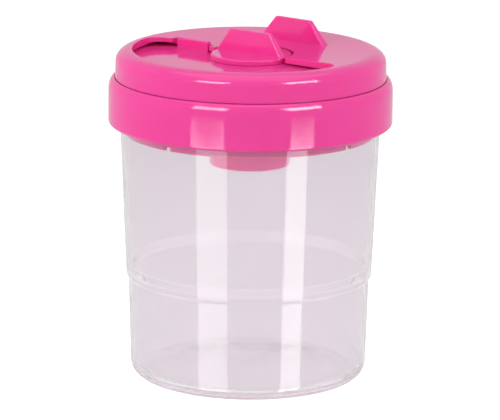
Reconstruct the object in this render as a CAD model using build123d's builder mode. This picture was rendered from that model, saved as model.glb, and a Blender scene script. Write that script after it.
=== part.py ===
from build123d import *
from math import asin, cos, degrees, radians, sin
import os

os.makedirs("parts", exist_ok=True)

# Brush washer with a lid, in millimetres. Z is up, the origin is at the centre of the cup's foot.
# The pot stands as it is used: X runs to the right and Y runs away from the person facing it.

# Cup: a clear beaker in two tiers, so that empty cups stack
cup_mouth_radius = 37.1
cup_height = 84.0
cup_flare = 2.3
cup_tier_step = 0.65
cup_lower_flare = 0.8
cup_step_height = 28.2
cup_step_rise = 1.0
cup_ledge_lift = 2.0
cup_ledge_rise = 2.3
cup_wall = 1.1
cup_floor = 1.5
cup_foot_hollow = 0.7
cup_foot_width = 3.6
cup_foot_fillet = 3.7
cup_floor_fillet = 2.6
cup_edge_fillet = 0.35
rim_bead_drop = 2.6
rim_bead_height = 2.2
rim_bead_projection = 1.4

# Lid: a skirt outside the cup, a split ring inside it, a flat deck above and a tube down the middle
skirt_wall = 1.4
skirt_drop = 11.7
skirt_edge_fillet = 0.9
skirt_top_rise = 3.5
skirt_lip = 0.25
web_thickness = 1.1
ring_wall = 1.2
ring_drop = 14.4
ring_inset = 2.1
ring_slots = 4
ring_slot_width = 2.2
ring_slot_height = 1.2
ring_slot_turn = -40.0
deck_rise = 5.4
deck_thickness = 1.3
tube_radius = 11.3
tube_wall = 1.2
tube_length = 30.0
deck_edge_fillet = 0.4

# Bead on the lid that keeps the turning cap from lifting
cap_bead_projection = 1.0
cap_bead_height = 1.0

# The closure is turned about Z from the person's own left and right
closure_turn = -38.0

# Brush opening in the deck, and the stop that stands beside it
opening_border = 5.0
opening_edge = 3.8
opening_corner = 2.0
opening_rim = 2.4
stop_width = 1.3
stop_height = 3.05
stop_fillet = 0.5
stop_setback = 7.85

# Turning cap: the upper tier, with a half-round window, a notch round the stop and a shallow
# relief under the plate at that end of the window
cap_step = 1.85
cap_rise = 2.7
cap_draft = 0.15
cap_shoulder = 4.2
cap_shoulder_height = 3.2
cap_wall = 1.2
cap_plate = 1.3
cap_dish = 0.85
cap_flange = 1.1
window_border = 4.75
window_edge = -1.3
window_corner = 5.2
window_inner_corner = 2.0
edge_relief_reach = 7.8
edge_relief_width = 2.0
edge_relief_depth = 0.7
cap_grip_setback = 7.75
cap_grip_height = 6.6
cap_grip_slope = 5.3

# Stopper: closes the tube
stopper_overhang = 0.1
stopper_flange = 1.5
stopper_stem_length = 11.0
stopper_wall = 1.2
stopper_edge_fillet = 0.45
stopper_grip_height = 6.3
stopper_grip_slope = 4.4
stem_chamfer = 0.5

# Finger grips: an upright plate with sloping ends, on the stopper and on the cap
grip_root = 0.4
grip_thickness = 1.4
grip_base_thickness = 2.7
grip_corner = 0.8
grip_edge_fillet = 0.35

# Clearances
seat_gap = 0.3
bead_clearance = 0.1
running_clearance = 0.1
seam_gap = 0.15
stem_clearance = 0.08
flange_gap = 0.05
hole_gap = 0.5
notch_gap = 0.8
notch_hub_wall = 2.15
stop_hub_gap = 0.55
stop_outer_gap = 2.15
bead_gap = 0.2

# Heights and radii that follow from the sizes above
cup_upper_radius = cup_mouth_radius - cup_flare
cup_lower_radius = cup_upper_radius - cup_tier_step
cup_foot_radius = cup_lower_radius - cup_lower_flare
bead_radius = cup_mouth_radius + rim_bead_projection
skirt_inner_radius = bead_radius + bead_clearance
lid_radius = skirt_inner_radius + skirt_wall
ring_radius = cup_mouth_radius - ring_inset
cap_radius = lid_radius - cap_step
window_radius = cap_radius - window_border
opening_radius = ring_radius - opening_border
web_under = cup_height + seat_gap
web_top = web_under + web_thickness
ring_bottom = web_under - ring_drop
skirt_bottom = web_under - skirt_drop
skirt_top_inner = cap_radius + seam_gap
skirt_top_start = web_top + skirt_lip - skirt_top_rise
deck_height = web_top + deck_rise
deck_under = deck_height - deck_thickness
tube_bottom = deck_height - tube_length
tube_bore = tube_radius - tube_wall
stopper_flange_radius = tube_radius + stopper_overhang
stopper_bottom = deck_height + flange_gap
stopper_top = stopper_bottom + stopper_flange
stem_radius = tube_bore - stem_clearance
stem_bottom = deck_height - stopper_stem_length
cap_bottom = web_top + seat_gap
cap_flange_top = cap_bottom + cap_flange
cap_bead_bottom = cap_flange_top + bead_gap
cap_bead_radius = ring_radius + cap_bead_projection
cap_top_height = deck_height + cap_rise
cap_hole_radius = stopper_flange_radius + hole_gap
cap_dish_height = cap_top_height - cap_dish
cap_under = cap_dish_height - cap_plate
cap_shoulder_radius = cap_radius - cap_draft - cap_shoulder
cap_inner_shoulder = cap_shoulder - cap_wall
cap_slope = cap_dish / (cap_shoulder_radius - cap_hole_radius)
cap_grip_offset = cap_hole_radius + cap_grip_setback
cap_grip_surface = cap_dish_height + cap_grip_setback * cap_slope
grip_base = 2 * stopper_flange_radius
notch_inner = cap_hole_radius + notch_hub_wall
stop_inner = notch_inner + stop_hub_gap
stop_outer = window_radius - stop_setback
notch_outer = stop_outer + stop_outer_gap


def closure_plane(height):
    turn = radians(closure_turn)
    return Plane(origin=(0, 0, height), x_dir=(cos(turn), sin(turn), 0), z_dir=(0, 0, 1))


def grip_plane(offset, along=True):
    turn = radians(closure_turn)
    middle = (-offset * sin(turn), offset * cos(turn), 0)
    run = (cos(turn), sin(turn), 0)
    across = (sin(turn), -cos(turn), 0)
    if along:
        return Plane(origin=middle, x_dir=run, z_dir=across)
    return Plane(origin=middle, x_dir=(-sin(turn), cos(turn), 0), z_dir=run)


def corner(vertices, radius, height):
    return vertices.sort_by_distance(Vector(radius, height, 0))[0]


def finger_grip(offset, surface, height, slope):
    foot = surface - grip_root
    top = surface + height
    grip_top = grip_base - 2 * slope
    with BuildPart() as grip:
        with BuildSketch(grip_plane(offset)) as face:
            Polygon(
                (-grip_base / 2, foot),
                (grip_base / 2, foot),
                (grip_base / 2, surface),
                (grip_top / 2, top),
                (-grip_top / 2, top),
                (-grip_base / 2, surface),
                align=None,
            )
            fillet(corner(face.vertices(), grip_top / 2, top), grip_corner)
            fillet(corner(face.vertices(), -grip_top / 2, top), grip_corner)
        extrude(amount=grip_base_thickness, both=True)
        with BuildSketch(grip_plane(offset, along=False)):
            Polygon(
                (-grip_base_thickness / 2, foot),
                (grip_base_thickness / 2, foot),
                (grip_thickness / 2, top),
                (-grip_thickness / 2, top),
                align=None,
            )
        extrude(amount=grip_base, both=True, mode=Mode.INTERSECT)
        above = grip.edges().filter_by(lambda edge: edge.center().Z > surface + grip_root)
        fillet(above, grip_edge_fillet)
    return grip.part


# Cup
step_top = cup_step_height + cup_step_rise
ledge_bottom = cup_step_height + cup_ledge_lift
ledge_top = ledge_bottom + cup_ledge_rise
floor_top = cup_foot_hollow + cup_floor
foot_ring_radius = cup_foot_radius - cup_foot_fillet - cup_foot_width
hollow_radius = (foot_ring_radius**2 + cup_foot_hollow**2) / (2 * cup_foot_hollow)
hollow_angle = degrees(asin(foot_ring_radius / hollow_radius))
bead_middle = cup_height - rim_bead_drop
mouth_slope = (cup_mouth_radius - cup_upper_radius) / (cup_height - step_top)
wall_at_bead = cup_mouth_radius - mouth_slope * (rim_bead_drop + rim_bead_height)

with BuildPart() as cup:
    with BuildSketch(Plane.XZ) as cup_profile:
        with BuildLine():
            hollow = CenterArc(
                (0, cup_foot_hollow - hollow_radius), hollow_radius, 90 - hollow_angle, hollow_angle
            )
            Polyline(
                hollow @ 0,
                (cup_foot_radius, 0),
                (cup_lower_radius, cup_step_height),
                (cup_upper_radius, step_top),
                (wall_at_bead, bead_middle - rim_bead_height),
                (bead_radius, bead_middle - rim_bead_height / 2),
                (bead_radius, bead_middle),
                (cup_mouth_radius, bead_middle + rim_bead_height / 2),
                (cup_mouth_radius, cup_height),
                (cup_mouth_radius - cup_wall, cup_height),
                (cup_upper_radius - cup_wall, ledge_top),
                (cup_lower_radius - cup_wall, ledge_bottom),
                (cup_foot_radius - cup_wall, floor_top),
                (0, floor_top),
                hollow @ 1,
            )
        make_face()
        fillet(corner(cup_profile.vertices(), cup_foot_radius, 0), cup_foot_fillet)
        fillet(corner(cup_profile.vertices(), cup_foot_radius - cup_wall, floor_top), cup_floor_fillet)
        for r, z in (
            (cup_lower_radius, cup_step_height),
            (cup_upper_radius, step_top),
            (cup_upper_radius - cup_wall, ledge_top),
            (cup_lower_radius - cup_wall, ledge_bottom),
            (cup_mouth_radius, cup_height),
            (cup_mouth_radius - cup_wall, cup_height),
        ):
            fillet(corner(cup_profile.vertices(), r, z), cup_edge_fillet)
    revolve(axis=Axis.Z)
cup.part.label = "cup"
export_step(cup.part, "parts/cup.step")

# Lid
with BuildPart() as lid:
    with BuildSketch(Plane.XZ) as lid_profile:
        with BuildLine():
            EllipticalCenterArc(
                (skirt_top_inner, skirt_top_start),
                lid_radius - skirt_top_inner,
                skirt_top_rise,
                start_angle=0,
                arc_size=90,
            )
            Polyline(
                (skirt_top_inner, skirt_top_start + skirt_top_rise),
                (skirt_top_inner, web_top),
                (ring_radius, web_top),
                (ring_radius, cap_bead_bottom),
                (cap_bead_radius, cap_bead_bottom),
                (cap_bead_radius, cap_bead_bottom + cap_bead_height / 2),
                (ring_radius, cap_bead_bottom + cap_bead_height),
                (ring_radius, deck_height),
                (tube_bore, deck_height),
                (tube_bore, tube_bottom),
                (tube_radius, tube_bottom),
                (tube_radius, deck_under),
                (ring_radius - ring_wall, deck_under),
                (ring_radius - ring_wall, ring_bottom),
                (ring_radius, ring_bottom),
                (ring_radius, web_under),
                (skirt_inner_radius, web_under),
                (skirt_inner_radius, skirt_bottom),
                (lid_radius, skirt_bottom),
                (lid_radius, skirt_top_start),
            )
        make_face()
        for r, z, size in (
            (lid_radius, skirt_bottom, skirt_edge_fillet),
            (skirt_inner_radius, skirt_bottom, skirt_edge_fillet / 2),
            (ring_radius, deck_height, deck_edge_fillet),
            (ring_radius, ring_bottom, ring_wall / 3),
            (ring_radius - ring_wall, ring_bottom, ring_wall / 3),
            (tube_radius, tube_bottom, tube_wall / 3),
            (tube_bore, tube_bottom, tube_wall / 3),
            (tube_bore, deck_height, deck_edge_fillet),
        ):
            fillet(corner(lid_profile.vertices(), r, z), size)
    revolve(axis=Axis.Z)
    with BuildSketch(Plane.XY.offset(ring_bottom)):
        with PolarLocations(ring_radius - ring_wall / 2, ring_slots, start_angle=ring_slot_turn):
            Rectangle(ring_wall * 3, ring_slot_width)
    extrude(amount=ring_slot_height, mode=Mode.SUBTRACT)
    with BuildSketch(closure_plane(deck_under)) as opening_face:
        Circle(opening_radius)
        with Locations((0, opening_edge - opening_radius)):
            Rectangle(2 * opening_radius, 2 * opening_radius, mode=Mode.SUBTRACT)
        Circle(tube_radius + opening_rim, mode=Mode.SUBTRACT)
        fillet(opening_face.vertices(), opening_corner)
    extrude(amount=deck_thickness, mode=Mode.SUBTRACT)
    with BuildSketch(closure_plane(deck_height)):
        with Locations((-(stop_inner + stop_outer) / 2, window_edge + stop_width / 2)):
            Rectangle(stop_outer - stop_inner, stop_width)
    extrude(amount=stop_height)
    stop_top = lid.edges().filter_by_position(
        Axis.Z, deck_height + stop_height - 0.01, deck_height + stop_height + 0.01
    )
    fillet(stop_top.sort_by(SortBy.LENGTH)[-2:], stop_fillet)
lid.part.label = "lid"
export_step(lid.part, "parts/lid.step")

# Turning cap
with BuildPart() as turning_cap:
    with BuildSketch(Plane.XZ) as cap_profile:
        with BuildLine():
            shoulder = EllipticalCenterArc(
                (cap_shoulder_radius, cap_top_height - cap_shoulder_height),
                cap_shoulder,
                cap_shoulder_height,
                start_angle=0,
                arc_size=90,
            )
            inner_shoulder = CenterArc(
                (cap_shoulder_radius, cap_under - cap_inner_shoulder), cap_inner_shoulder, 0, 90
            )
            Polyline(
                shoulder @ 1,
                (cap_hole_radius, cap_dish_height),
                (cap_hole_radius, cap_under),
                inner_shoulder @ 1,
            )
            Polyline(
                inner_shoulder @ 0,
                (cap_radius - cap_wall, cap_flange_top),
                (ring_radius + running_clearance, cap_flange_top),
                (ring_radius + running_clearance, cap_bottom),
                (cap_radius, cap_bottom),
                shoulder @ 0,
            )
        make_face()
    revolve(axis=Axis.Z)
    with BuildSketch(closure_plane(deck_height)) as window_face:
        Circle(window_radius)
        with Locations((0, window_edge + window_radius)):
            Rectangle(2 * window_radius, 2 * window_radius, mode=Mode.SUBTRACT)
        fillet(window_face.vertices(), window_corner)
        Circle(cap_hole_radius)
        fillet(corner(window_face.vertices(), cap_hole_radius, window_edge), window_inner_corner)
        with Locations((-(notch_inner + notch_outer) / 2, window_edge)):
            Rectangle(notch_outer - notch_inner, 2 * (stop_width + notch_gap))
    extrude(amount=cap_top_height - deck_height, mode=Mode.SUBTRACT)
    with BuildSketch(closure_plane(cap_under)):
        Circle(cap_shoulder_radius)
        Circle(cap_shoulder_radius - edge_relief_reach, mode=Mode.SUBTRACT)
        with Locations((-cap_radius / 2, window_edge + edge_relief_width - cap_radius / 2)):
            Rectangle(cap_radius, cap_radius, mode=Mode.INTERSECT)
    extrude(amount=edge_relief_depth, mode=Mode.SUBTRACT)
    add(finger_grip(cap_grip_offset, cap_grip_surface, cap_grip_height, cap_grip_slope))
turning_cap.part.label = "turning cap"
export_step(turning_cap.part, "parts/turning_cap.step")

# Stopper
with BuildPart() as stopper:
    with BuildSketch(Plane.XZ) as stopper_profile:
        with BuildLine():
            Polyline(
                (0, stopper_top),
                (stopper_flange_radius, stopper_top),
                (stopper_flange_radius, stopper_bottom),
                (stem_radius, stopper_bottom),
                (stem_radius, stem_bottom),
                (stem_radius - stopper_wall, stem_bottom),
                (stem_radius - stopper_wall, stopper_bottom),
                (0, stopper_bottom),
                close=True,
            )
        make_face()
        fillet(
            corner(stopper_profile.vertices(), stopper_flange_radius, stopper_top),
            stopper_edge_fillet,
        )
        chamfer(corner(stopper_profile.vertices(), stem_radius, stem_bottom), stem_chamfer)
    revolve(axis=Axis.Z)
    add(finger_grip(0, stopper_top, stopper_grip_height, stopper_grip_slope))
stopper.part.label = "stopper"
export_step(stopper.part, "parts/stopper.step")
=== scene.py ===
import math

import bpy
from mathutils import Matrix, Vector

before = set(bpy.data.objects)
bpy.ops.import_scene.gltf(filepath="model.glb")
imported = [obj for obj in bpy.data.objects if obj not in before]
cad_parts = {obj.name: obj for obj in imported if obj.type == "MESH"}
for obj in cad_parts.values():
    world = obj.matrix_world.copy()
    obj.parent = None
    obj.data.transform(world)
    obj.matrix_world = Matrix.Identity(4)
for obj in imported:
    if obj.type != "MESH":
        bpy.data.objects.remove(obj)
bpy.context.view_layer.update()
print("frame loaded")


def rgb(hexCode):
    # sRGB hex to the linear colour that Blender's sockets take
    channels = [int(hexCode[i:i + 2], 16) / 255 for i in (1, 3, 5)]
    linear = [c / 12.92 if c <= 0.04045 else ((c + 0.055) / 1.055) ** 2.4 for c in channels]
    return (*linear, 1.0)


def findSocket(node, name):
    # a Mix node has a socket of one name for each data type, told apart by the identifier
    for socket in node.inputs:
        if name in (socket.identifier, socket.name) and socket.enabled:
            return socket
    raise KeyError(name)


def addNode(tree, kind, settings=None, inputs=None):
    node = tree.nodes.new(kind)
    for name, value in (settings or {}).items():
        setattr(node, name, value)
    for name, value in (inputs or {}).items():
        socket = node.inputs[name] if isinstance(name, int) else findSocket(node, name)
        if isinstance(value, bpy.types.NodeSocket):
            tree.links.new(value, socket)
        else:
            socket.default_value = value
    return node


def newMaterial(name):
    material = bpy.data.materials.new(name)
    material.use_nodes = True
    tree = material.node_tree
    tree.nodes.clear()
    return material, tree


def setOutput(tree, outlets):
    addNode(tree, "ShaderNodeOutputMaterial", inputs=outlets)


# Lid, turning cap and stopper: polypropylene coloured through, injection moulded in a polished
# mould. It gives the eye a glossy pink with mirror images, a faint waviness and soft flow marks,
# and light that sinks in a little way and comes out again, which fills the narrow seams. Sizes
# are in metres: 16 mm from one flow mark to the next, 4 mm for a wave, and a grain of 0.5 mm.
pinkPlastic = {
    "colour": "#EC3A98",
    "flowColour": "#F0419F",
    "roughness": 0.08,
    "roughnessSpread": 0.03,
    "ior": 1.49,
    "flowSize": 0.016,
    "flowDetail": 3.0,
    "flowTwist": 1.2,
    "waveSize": 0.004,
    "waveDetail": 1.0,
    "waveHeight": 0.00001,
    "grainSize": 0.0005,
    "grainDetail": 2.0,
    "grainHeight": 0.000001,
    "edgeRadius": 0.0003,
    "edgeSamples": 6,
    "glow": 0.5,
    "glowDepth": 0.0012,
    "glowReach": (1.0, 0.35, 0.55),
}


def mouldedPolypropylene():
    p = pinkPlastic
    material, tree = newMaterial("mouldedPolypropylenePink")
    place = addNode(tree, "ShaderNodeTexCoord").outputs["Object"]
    flow = addNode(tree, "ShaderNodeTexNoise", inputs={
        "Vector": place, "Scale": 1 / p["flowSize"], "Detail": p["flowDetail"],
        "Distortion": p["flowTwist"]})
    colour = addNode(tree, "ShaderNodeMix", {"data_type": "RGBA"}, {
        "Factor_Float": flow.outputs["Fac"],
        "A_Color": rgb(p["colour"]), "B_Color": rgb(p["flowColour"])})
    wave = addNode(tree, "ShaderNodeTexNoise", inputs={
        "Vector": place, "Scale": 1 / p["waveSize"], "Detail": p["waveDetail"]})
    grain = addNode(tree, "ShaderNodeTexNoise", inputs={
        "Vector": place, "Scale": 1 / p["grainSize"], "Detail": p["grainDetail"]})
    rough = addNode(tree, "ShaderNodeMapRange", inputs={
        "Value": grain.outputs["Fac"],
        "To Min": p["roughness"] - p["roughnessSpread"],
        "To Max": p["roughness"] + p["roughnessSpread"]})
    edges = addNode(tree, "ShaderNodeBevel", {"samples": p["edgeSamples"]}, {
        "Radius": p["edgeRadius"]})
    waviness = addNode(tree, "ShaderNodeBump", inputs={
        "Height": wave.outputs["Fac"], "Distance": p["waveHeight"],
        "Normal": edges.outputs["Normal"]})
    bump = addNode(tree, "ShaderNodeBump", inputs={
        "Height": grain.outputs["Fac"], "Distance": p["grainHeight"],
        "Normal": waviness.outputs["Normal"]})
    shader = addNode(tree, "ShaderNodeBsdfPrincipled", inputs={
        "Base Color": colour.outputs[2], "Roughness": rough.outputs["Result"],
        "Normal": bump.outputs["Normal"], "IOR": p["ior"], "Subsurface Weight": p["glow"],
        "Subsurface Scale": p["glowDepth"], "Subsurface Radius": p["glowReach"]})
    setOutput(tree, {"Surface": shader.outputs["BSDF"]})
    return material


# Cup: clear polypropylene, injection moulded. It gives the eye a glossy, slightly hazy wall with
# a faint pink tint and a thin milky veil, and it lets the lamps through, so its shadow stays light.
# Its index is set under the 1.49 of the solid plastic, so that a thin wall bends the view no more
# than the real one does.
clearPlastic = {
    "colour": "#ECE7EB",
    # painted light: paler tints for the inner wall at the ledge, palest at its edges as painted
    # highlight lines
    "ledgePaintedLightColour": "#F4EEF3",
    "ledgeEdgeHighlightColour": "#FDF7FC",
    "ledgeLow": 0.0302,
    "ledgeHigh": 0.0325,
    "ledgeEdge": 0.0004,
    "ledgeInside": 0.0342,
    "depthColour": "#EDB2D9",
    "depthDensity": 4.0,
    "shadowColour": "#FDFAFC",
    "clearness": 0.93,
    "mostMirrorings": 2.0,
    "mostCrossings": 8.0,
    "roughness": 0.08,
    "roughnessSpread": 0.03,
    "ior": 1.36,
    "hazeSize": 0.012,
    "hazeDetail": 4.0,
}


def ledgePaintedLight(tree, place):
    # the inside steps in at the ledge, 30.2 to 32.5 mm up; there the inner wall is given a paler
    # tint as painted light, and it is palest at its two edges as painted highlight lines
    p = clearPlastic
    low, high, edge = p["ledgeLow"], p["ledgeHigh"], p["ledgeEdge"]
    bottom, span = low - 2 * edge, high - low + 4 * edge
    parts = addNode(tree, "ShaderNodeSeparateXYZ", inputs={"Vector": place})
    height = addNode(tree, "ShaderNodeMapRange", inputs={
        "Value": parts.outputs["Z"], "From Min": bottom, "From Max": bottom + span})
    paintedLightTints = addNode(tree, "ShaderNodeValToRGB", inputs={"Fac": height.outputs["Result"]})
    stops = [(low - edge, "colour"), (low, "ledgeEdgeHighlightColour"), (low + edge, "ledgePaintedLightColour"),
             (high - edge, "ledgePaintedLightColour"), (high, "ledgeEdgeHighlightColour"), (high + edge, "colour")]
    ramp = paintedLightTints.color_ramp
    while len(ramp.elements) < len(stops):
        ramp.elements.new(0.5)
    for element, (at, colour) in zip(ramp.elements, stops):
        element.position = (at - bottom) / span
        element.color = rgb(p[colour])
    flat = addNode(tree, "ShaderNodeVectorMath", {"operation": "MULTIPLY"}, {
        0: place, 1: (1.0, 1.0, 0.0)})
    reach = addNode(tree, "ShaderNodeVectorMath", {"operation": "LENGTH"}, {
        0: flat.outputs["Vector"]})
    inside = addNode(tree, "ShaderNodeMath", {"operation": "LESS_THAN"}, {
        0: reach.outputs["Value"], 1: p["ledgeInside"]})
    return addNode(tree, "ShaderNodeMix", {"data_type": "RGBA"}, {
        "Factor_Float": inside.outputs["Value"], "A_Color": rgb(p["colour"]),
        "B_Color": paintedLightTints.outputs["Color"]})


def clearPolypropylene():
    p = clearPlastic
    material, tree = newMaterial("clearPolypropylene")
    place = addNode(tree, "ShaderNodeTexCoord").outputs["Object"]
    haze = addNode(tree, "ShaderNodeTexNoise", inputs={
        "Vector": place, "Scale": 1 / p["hazeSize"], "Detail": p["hazeDetail"]})
    rough = addNode(tree, "ShaderNodeMapRange", inputs={
        "Value": haze.outputs["Fac"],
        "To Min": p["roughness"] - p["roughnessSpread"],
        "To Max": p["roughness"] + p["roughnessSpread"]})
    # the inner wall's tint, painted paler at the ledge as painted light and palest at its edges as
    # painted highlight
    ledge = ledgePaintedLight(tree, place)
    wall = addNode(tree, "ShaderNodeBsdfPrincipled", inputs={
        "Base Color": ledge.outputs[2], "Roughness": rough.outputs["Result"], "IOR": p["ior"],
        "Transmission Weight": p["clearness"]})
    shade = addNode(tree, "ShaderNodeBsdfTransparent", inputs={"Color": rgb(p["shadowColour"])})
    # light that has been mirrored or bent too often in the wall goes straight on
    ray = addNode(tree, "ShaderNodeLightPath")
    mirrored = addNode(tree, "ShaderNodeMath", {"operation": "GREATER_THAN"}, {
        0: ray.outputs["Glossy Depth"], 1: p["mostMirrorings"]})
    crossed = addNode(tree, "ShaderNodeMath", {"operation": "GREATER_THAN"}, {
        0: ray.outputs["Transmission Depth"], 1: p["mostCrossings"]})
    trapped = addNode(tree, "ShaderNodeMath", {"operation": "MAXIMUM"}, {
        0: mirrored.outputs["Value"], 1: crossed.outputs["Value"]})
    out = addNode(tree, "ShaderNodeBsdfTransparent")
    freed = addNode(tree, "ShaderNodeMixShader", inputs={
        0: trapped.outputs["Value"], 1: wall.outputs["BSDF"], 2: out.outputs["BSDF"]})
    mix = addNode(tree, "ShaderNodeMixShader", inputs={
        0: ray.outputs["Is Shadow Ray"], 1: freed.outputs["Shader"], 2: shade.outputs["BSDF"]})
    depth = addNode(tree, "ShaderNodeVolumeAbsorption", inputs={
        "Color": rgb(p["depthColour"]), "Density": p["depthDensity"]})
    setOutput(tree, {"Surface": mix.outputs["Shader"], "Volume": depth.outputs["Volume"]})
    return material


def dress(node, material):
    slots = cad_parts[node].material_slots
    for slot in slots:
        slot.link = "OBJECT"
        slot.material = material


pink = mouldedPolypropylene()
clear = clearPolypropylene()
dress("cup", clear)
for node in ("lid", "turning_cap", "stopper"):
    dress(node, pink)
print("materials done")

# Studio: a white table and white air. For what is mirrored or seen through, the table gives way
# to the air, which is white too and a little dimmer in mirror images. Only the lamps and the eye
# meet the table itself.
studio = {
    "white": "#FFFFFF",
    "tableSize": 3.0,
    "tableColour": "#DCDBDB",
    "tableGlow": 0.6,
    "airLight": 0.36,
    "airInGloss": 0.72,
    "airInCup": 0.75,
}


def buildTable():
    bpy.ops.mesh.primitive_plane_add(size=studio["tableSize"])
    table = bpy.context.object
    table.name = "studioTable"
    table.visible_glossy = False
    table.visible_transmission = False
    material, tree = newMaterial("whiteLacqueredBoard")
    ray = addNode(tree, "ShaderNodeLightPath")
    board = addNode(tree, "ShaderNodeBsdfDiffuse", inputs={"Color": rgb(studio["tableColour"])})
    glow = addNode(tree, "ShaderNodeMath", {"operation": "MULTIPLY"}, {
        0: ray.outputs["Is Camera Ray"], 1: studio["tableGlow"]})
    light = addNode(tree, "ShaderNodeEmission", inputs={
        "Color": rgb(studio["white"]), "Strength": glow.outputs["Value"]})
    both = addNode(tree, "ShaderNodeAddShader", inputs={
        0: board.outputs["BSDF"], 1: light.outputs["Emission"]})
    setOutput(tree, {"Surface": both.outputs["Shader"]})
    table.data.materials.append(material)


def buildAir():
    air = bpy.data.worlds.new("studioAir")
    bpy.context.scene.world = air
    air.use_nodes = True
    tree = air.node_tree
    tree.nodes.clear()
    ray = addNode(tree, "ShaderNodeLightPath")
    mirrored = addNode(tree, "ShaderNodeMapRange", inputs={
        "Value": ray.outputs["Transmission Depth"],
        "To Min": studio["airInGloss"], "To Max": studio["airInCup"]})
    gloss = addNode(tree, "ShaderNodeMapRange", inputs={
        "Value": ray.outputs["Is Glossy Ray"],
        "To Min": studio["airLight"], "To Max": mirrored.outputs["Result"]})
    seen = addNode(tree, "ShaderNodeMath", {"operation": "MAXIMUM"}, {
        0: ray.outputs["Is Camera Ray"], 1: ray.outputs["Is Transmission Ray"]})
    strength = addNode(tree, "ShaderNodeMath", {"operation": "MAXIMUM"}, {
        0: gloss.outputs["Result"], 1: seen.outputs["Value"]})
    back = addNode(tree, "ShaderNodeBackground", inputs={
        "Color": rgb(studio["white"]), "Strength": strength.outputs["Value"]})
    addNode(tree, "ShaderNodeOutputWorld", inputs={"Surface": back.outputs["Background"]})


buildTable()
buildAir()
print("table and air done")

# Lamps: two soft boxes at the front, two wide fills beside them and a large soft light above
# colour the plastic. What gleams in it is the bright upper part of each soft box, and the gloss of
# the table mirrors the boxes once more. Angles are in degrees, from straight ahead of the object.
frontLamps = {
    "softBoxLeft": {"turn": -34.0, "width": 28.0, "low": 4.0, "high": 34.0, "radiance": 0.8},
    "softBoxRight": {"turn": 45.0, "width": 30.0, "low": 4.0, "high": 34.0, "radiance": 1.4},
    "fillLeft": {"turn": -68.0, "width": 60.0, "low": 0.0, "high": 40.0, "radiance": 1.8},
    "fillRight": {"turn": 68.0, "width": 60.0, "low": 0.0, "high": 40.0, "radiance": 1.1},
}
gleams = {
    "gleamLeft": {"turn": -34.0, "width": 25.0, "low": 21.0, "high": 40.0, "radiance": 7.5},
    "gleamRight": {"turn": 45.0, "width": 28.0, "low": 21.0, "high": 40.0, "radiance": 10.0},
}
tableGleams = {
    "tableGleamLeft": {"turn": -34.0, "width": 28.0, "low": -34.0, "high": -4.0, "radiance": 5.2},
    "tableGleamRight": {"turn": 41.7, "width": 19.3, "low": -34.0, "high": -4.0, "radiance": 7.4},
}
lampPlace = {"distance": 0.9, "gleamDistance": 0.86, "middle": 0.05}
topLight = {"height": 1.3, "size": 1.4, "radiance": 0.6}
wattsPerRadiance = 4.0  # how Blender turns the watts of a square metre of lamp into brightness


def addAreaLight(name, place, aim, size, radiance):
    light = bpy.data.lights.new(name, "AREA")
    light.shape = "RECTANGLE"
    light.size, light.size_y = size
    light.energy = radiance * size[0] * size[1] * wattsPerRadiance
    lamp = bpy.data.objects.new(name, light)
    bpy.context.collection.objects.link(lamp)
    turned = (aim - place).to_track_quat("-Z", "Y").to_matrix().to_4x4()
    lamp.matrix_world = Matrix.Translation(place) @ turned
    lamp.visible_camera = False
    return lamp


def addFrontLamp(name, lamp, distance, middle):
    turn, low, high = (math.radians(lamp[angle]) for angle in ("turn", "low", "high"))
    rise = (low + high) / 2
    level = math.cos(rise)
    out = Vector((math.sin(turn) * level, -math.cos(turn) * level, math.sin(rise)))
    width = 2 * distance * math.tan(math.radians(lamp["width"]) / 2)
    height = 2 * distance * math.tan((high - low) / 2)
    aim = Vector((0.0, 0.0, middle))
    return addAreaLight(name, aim + out * distance, aim, (width, height), lamp["radiance"])


def buildLamps():
    middle = lampPlace["middle"]
    for name, lamp in frontLamps.items():
        light = addFrontLamp(name, lamp, lampPlace["distance"], middle)
        light.visible_glossy = False
    # a table mirrors what stands over it as if it hung as far under it
    for lamps, level in ((gleams, middle), (tableGleams, -middle)):
        for name, lamp in lamps.items():
            gleam = addFrontLamp(name, lamp, lampPlace["gleamDistance"], level)
            gleam.visible_diffuse = False
            gleam.visible_transmission = False
    above = Vector((0.0, 0.0, topLight["height"]))
    size = (topLight["size"], topLight["size"])
    addAreaLight("topLight", above, Vector((0.0, 0.0, middle)), size, topLight["radiance"])


buildLamps()
print("lamps done")

cameraPlace = {
    "at": (0.00017, -0.996, 0.2862),
    "pitch": 76.5,
    "roll": 0.6,
    "lens": 260.3,
    "sensorWidth": 36.0,
}


def buildCamera():
    c = cameraPlace
    data = bpy.data.cameras.new("studioCamera")
    data.lens = c["lens"]
    data.sensor_width = c["sensorWidth"]
    camera = bpy.data.objects.new("studioCamera", data)
    bpy.context.collection.objects.link(camera)
    camera.matrix_world = (
        Matrix.Translation(Vector(c["at"]))
        @ Matrix.Rotation(math.radians(c["pitch"]), 4, "X")
        @ Matrix.Rotation(math.radians(c["roll"]), 4, "Z"))
    bpy.context.scene.camera = camera


buildCamera()
bpy.context.scene.view_settings.view_transform = "Standard"
print("camera done")
